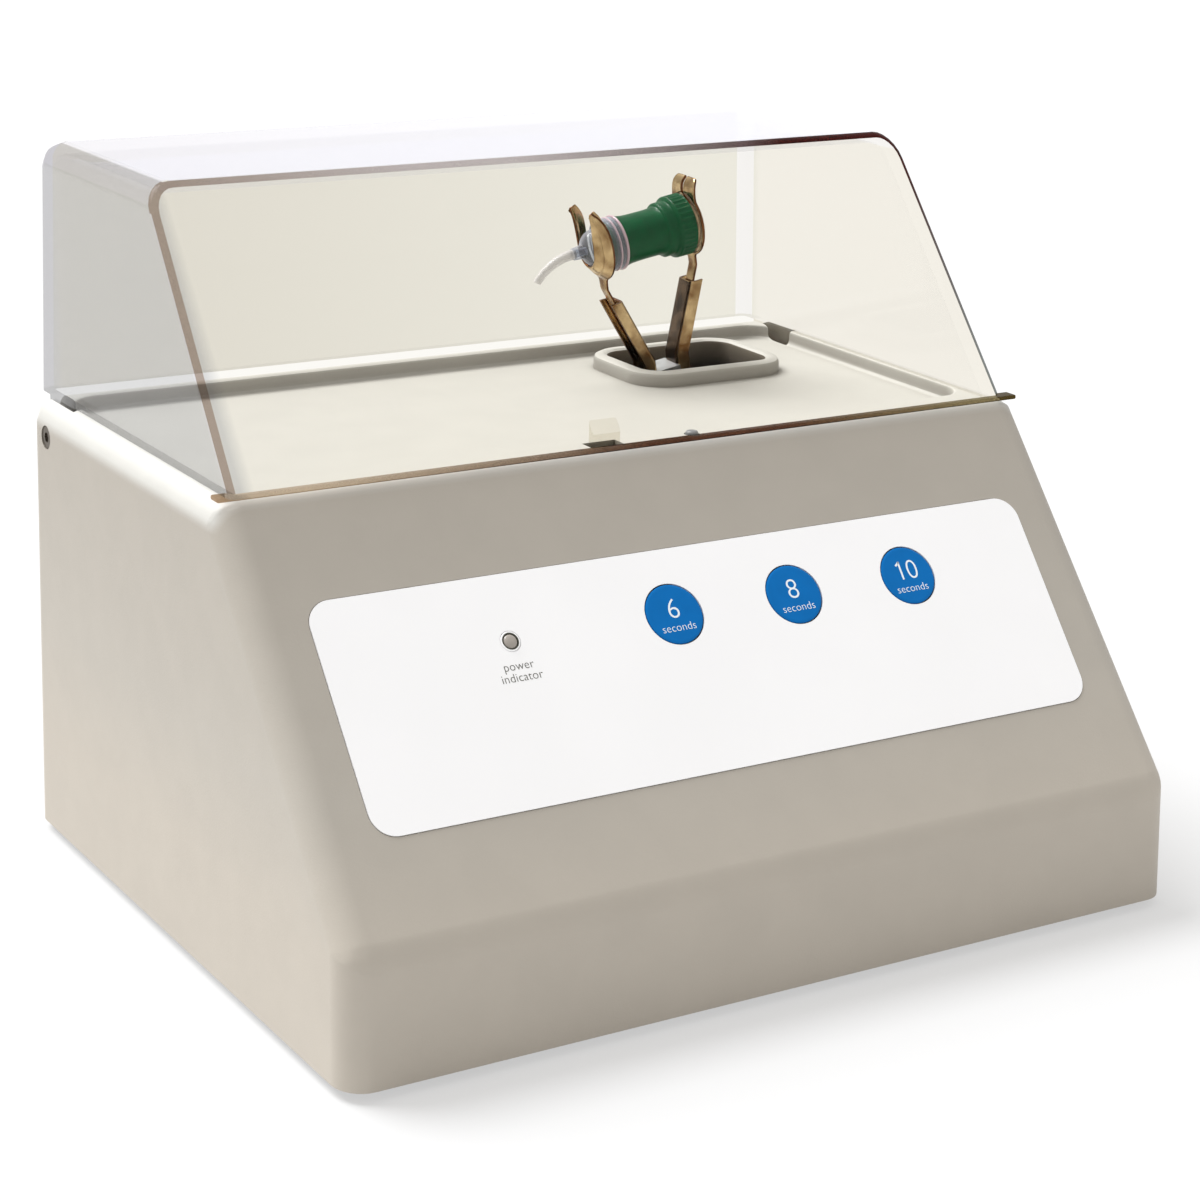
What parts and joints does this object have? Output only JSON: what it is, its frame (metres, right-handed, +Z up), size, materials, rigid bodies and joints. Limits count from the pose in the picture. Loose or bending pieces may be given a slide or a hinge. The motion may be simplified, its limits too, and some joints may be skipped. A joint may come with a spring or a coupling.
{
  "type": "dental capsule mixer",
  "caption": "Wedge-shaped bench mixer with a hinged clear cover over a tray, and a motor-shaken spring fork that holds one capsule by its ends.",
  "frame": {"origin": "centre of the whole object's box, on the plane that the feet stand on", "axes": "+X to the right, +Y to the back, +Z up"},
  "size_m": [0.23, 0.189, 0.1785],
  "materials": {
    "housing_plastic": "fine-textured moulded plastic",
    "cover_clear": "clear acrylic with a light bronze tint",
    "panel_film": "satin white polyester film",
    "button_blue": "satin blue film",
    "dark_plastic": "black moulded plastic",
    "grey_plastic": "grey moulded plastic",
    "lamp_grey": "unlit diffused lens",
    "rubber_black": "moulded rubber",
    "zinc_steel": "zinc-plated sheet",
    "screw_steel": "nickel-plated screws",
    "shaft_steel": "ground steel",
    "bearing_steel": "polished bearing steel",
    "cast_metal": "die-cast aluminium",
    "spring_steel": "polished spring steel, straw tinted",
    "core_steel": "stacked core sheet",
    "winding_copper": "enamelled copper wire",
    "bush_bronze": "sintered bronze",
    "board_green": "printed board",
    "lead_brown": "insulated lead",
    "lead_blue": "insulated lead",
    "capsule_green": "green moulded plastic",
    "capsule_clear": "translucent plastic",
    "ring_clear": "pink-tinted clear plastic"
  },
  "bodies": {
    "root": {"housing": "housing_plastic", "base_plate": "zinc_steel", "rubber_feet": "rubber_black", "base_screws": "screw_steel", "panel_overlay": "panel_film", "lamp_lens": "lamp_grey", "lamp_bezel": "dark_plastic", "control_board": "board_green", "button_switches": "dark_plastic", "board_screws": "screw_steel", "board_parts": "grey_plastic", "power_inlet": "dark_plastic", "inlet_blades": "bush_bronze", "inlet_screws": "screw_steel", "fuse_holder": "dark_plastic", "rocker_bezel": "dark_plastic", "motor_can": "zinc_steel", "stator_core": "core_steel", "stator_windings": "winding_copper", "motor_front_end": "cast_metal", "motor_rear_end": "cast_metal", "shaft_bushes": "bush_bronze", "motor_cradle": "zinc_steel", "motor_straps": "zinc_steel", "rubber_mounts": "rubber_black", "mount_screws": "screw_steel", "hinge_pins": "shaft_steel", "interlock_switch": "dark_plastic", "mains_leads": "lead_brown", "motor_leads": "lead_blue"},
    "rotor": {"motor_shaft": "shaft_steel", "rotor_core": "core_steel", "cooling_fan": "dark_plastic", "inclined_hub": "shaft_steel", "hub_set_screw": "screw_steel", "bearing_inner_ring": "bearing_steel", "bearing_balls": "bearing_steel", "journal_clip": "shaft_steel"},
    "arm": {"bearing_outer_ring": "bearing_steel", "arm_carrier": "cast_metal", "left_leg": "spring_steel", "right_leg": "spring_steel", "leg_screws": "screw_steel"},
    "left_fork_body": {"left_fork": "spring_steel"},
    "right_fork_body": {"right_fork": "spring_steel"},
    "capsule": {"capsule_barrel": "capsule_green", "capsule_collar": "capsule_clear", "capsule_rings": "ring_clear", "capsule_nozzle": "capsule_clear", "capsule_plunger": "capsule_green"},
    "cover_body": {"cover": "cover_clear"},
    "button_6_body": {"button_6": "button_blue"},
    "button_8_body": {"button_8": "button_blue"},
    "button_10_body": {"button_10": "button_blue"},
    "rocker": {"power_rocker": "dark_plastic"},
    "plunger": {"interlock_plunger": "grey_plastic"}
  },
  "joints": [
    {"name": "cover_hinge", "type": "hinge", "parent": "root", "child": "cover_body", "pos_m": [0, 0.078, 0.107], "axis": [-1, 0, 0], "range_deg": [0, 70]},
    {"name": "motor_spin", "type": "hinge", "parent": "root", "child": "rotor", "pos_m": [0.0635, 0.057, 0.0725], "axis": [1, 0, 0], "continuous": true},
    {"name": "arm_wobble", "type": "hinge", "parent": "rotor", "child": "arm", "pos_m": [0.0635, 0.057, 0.0725], "axis": [0.9799, -0.0682, 0.1873], "continuous": true},
    {"name": "left_fork_flex", "type": "hinge", "parent": "arm", "child": "left_fork_body", "pos_m": [0.05077, 0.05761, 0.11283], "axis": [-0.0682, -0.9977, -0.0065], "range_deg": [0, 3], "stiffness_Nm_per_rad": 2, "springref_deg": -1.15},
    {"name": "right_fork_flex", "type": "hinge", "parent": "arm", "child": "right_fork_body", "pos_m": [0.06049, 0.05693, 0.11468], "axis": [0.0682, 0.9977, 0.0065], "range_deg": [0, 3], "stiffness_Nm_per_rad": 2, "springref_deg": -1.15},
    {"name": "capsule_lift", "type": "slide", "parent": "arm", "child": "capsule", "axis": [-0.1873, 0.0065, 0.9823], "range_m": [0, 0.012]},
    {"name": "power_rocker_tilt", "type": "hinge", "parent": "root", "child": "rocker", "pos_m": [-0.044, 0.09, 0.0325], "axis": [-1, 0, 0], "range_deg": [0, 16]},
    {"name": "interlock_plunger_rise", "type": "slide", "parent": "root", "child": "plunger", "axis": [0, 0, 1], "range_m": [0, 0.0012]},
    {"name": "button_6_press", "type": "slide", "parent": "root", "child": "button_6_body", "axis": [0, 0.7703, -0.6376], "range_m": [0, 0.0005], "stiffness_N_per_m": 400, "springref_m": -0.001},
    {"name": "button_8_press", "type": "slide", "parent": "root", "child": "button_8_body", "axis": [0, 0.7703, -0.6376], "range_m": [0, 0.0005], "stiffness_N_per_m": 400, "springref_m": -0.001},
    {"name": "button_10_press", "type": "slide", "parent": "root", "child": "button_10_body", "axis": [0, 0.7703, -0.6376], "range_m": [0, 0.0005], "stiffness_N_per_m": 400, "springref_m": -0.001}
  ],
  "couplings": [
    {"joint": "arm_wobble", "follows": "motor_spin", "ratio": -1},
    {"joint": "interlock_plunger_rise", "follows": "cover_hinge", "m_per_rad": 0.00098}
  ]
}
